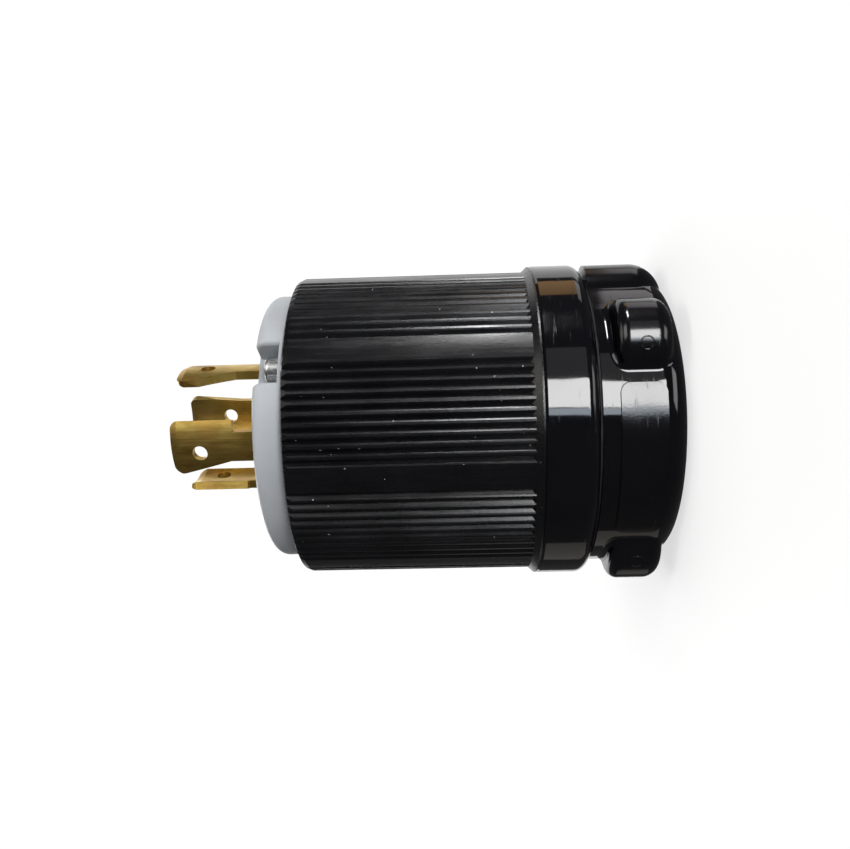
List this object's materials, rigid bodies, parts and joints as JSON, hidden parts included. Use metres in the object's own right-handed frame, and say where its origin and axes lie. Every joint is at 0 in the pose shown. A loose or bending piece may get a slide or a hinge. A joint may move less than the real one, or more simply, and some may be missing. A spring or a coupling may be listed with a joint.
{
  "type": "locking power plug",
  "caption": "Twist-locking power plug with curved hooked blades, grey face, black ribbed grip, glossy collar ring and lobed rear cap with a cord entry.",
  "frame": {"origin": "centre of the flat rear face, on the plug's axis", "axes": "+Z along the plug's axis from the cord entry to the blades; the assembly screws lie on the Y axis"},
  "size_m": [0.0626, 0.0622, 0.0947],
  "materials": {
    "grey_nylon": "satin moulded nylon",
    "black_satin": "satin moulded nylon with fine grain",
    "black_gloss": "glossy moulded nylon",
    "black_nylon": "matte moulded nylon",
    "jaw_nylon": "matte moulded nylon",
    "rubber": "matte rubber",
    "brass": "stamped brass with fine roll marks",
    "brass_screw": "turned brass",
    "plated_steel": "zinc plated",
    "nickel_screw": "nickel plated",
    "green_screw": "green passivated",
    "steel": "bright zinc plated"
  },
  "bodies": {
    "root": {"face_insert": "grey_nylon", "grip_shell": "black_satin", "collar_ring": "black_gloss", "rear_cap": "black_gloss", "cap_gasket": "rubber", "cord_grommet": "rubber", "terminal_carrier": "black_nylon", "cord_clamp_jaw_left": "jaw_nylon", "cord_clamp_jaw_right": "jaw_nylon", "blade_line_x": "brass", "blade_line_y": "brass", "blade_neutral": "brass", "blade_ground": "brass", "clamp_plate_line_x": "plated_steel", "clamp_plate_line_y": "plated_steel", "clamp_plate_neutral": "plated_steel", "clamp_plate_ground": "plated_steel", "line_terminal_screws": "brass_screw", "neutral_terminal_screw": "nickel_screw", "ground_terminal_screw": "green_screw", "assembly_screws": "steel", "assembly_nuts": "steel", "clamp_screws": "steel", "clamp_screw_bushes": "brass"}
  },
  "joints": []
}
